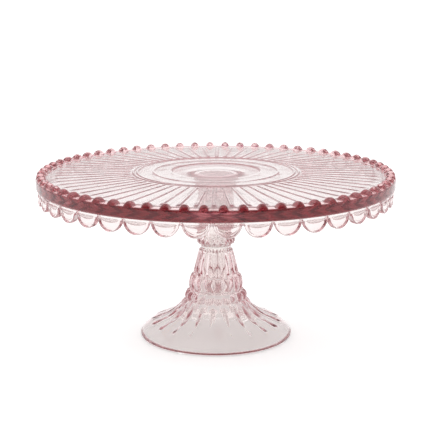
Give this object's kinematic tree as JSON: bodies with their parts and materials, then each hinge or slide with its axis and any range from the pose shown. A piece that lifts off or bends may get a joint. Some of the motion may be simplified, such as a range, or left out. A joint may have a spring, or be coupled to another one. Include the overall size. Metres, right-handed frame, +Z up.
{
  "type": "cake stand",
  "caption": "Round pressed-glass cake stand with a beaded rim, scalloped petal skirt, radial ribs and a hollow fluted pedestal foot.",
  "frame": {"origin": "centre of the surface that the bumper pads rest on, below the middle of the foot", "axes": "+Z up along the pedestal's axis; +X to the right and -Y towards the viewer"},
  "size_m": [0.28, 0.28, 0.134],
  "materials": {
    "pink_glass": "clear pressed glass, pale pink where thin and deep rose along the rim, fire-polished",
    "clear_bond": "clear cured glass adhesive",
    "clear_pad": "clear soft bumper dot, satin"
  },
  "bodies": {
    "root": {"cake_plate": "pink_glass", "pedestal": "pink_glass", "bond_disc": "clear_bond", "bumper_pad_1": "clear_pad", "bumper_pad_2": "clear_pad", "bumper_pad_3": "clear_pad", "bumper_pad_4": "clear_pad"}
  },
  "joints": []
}
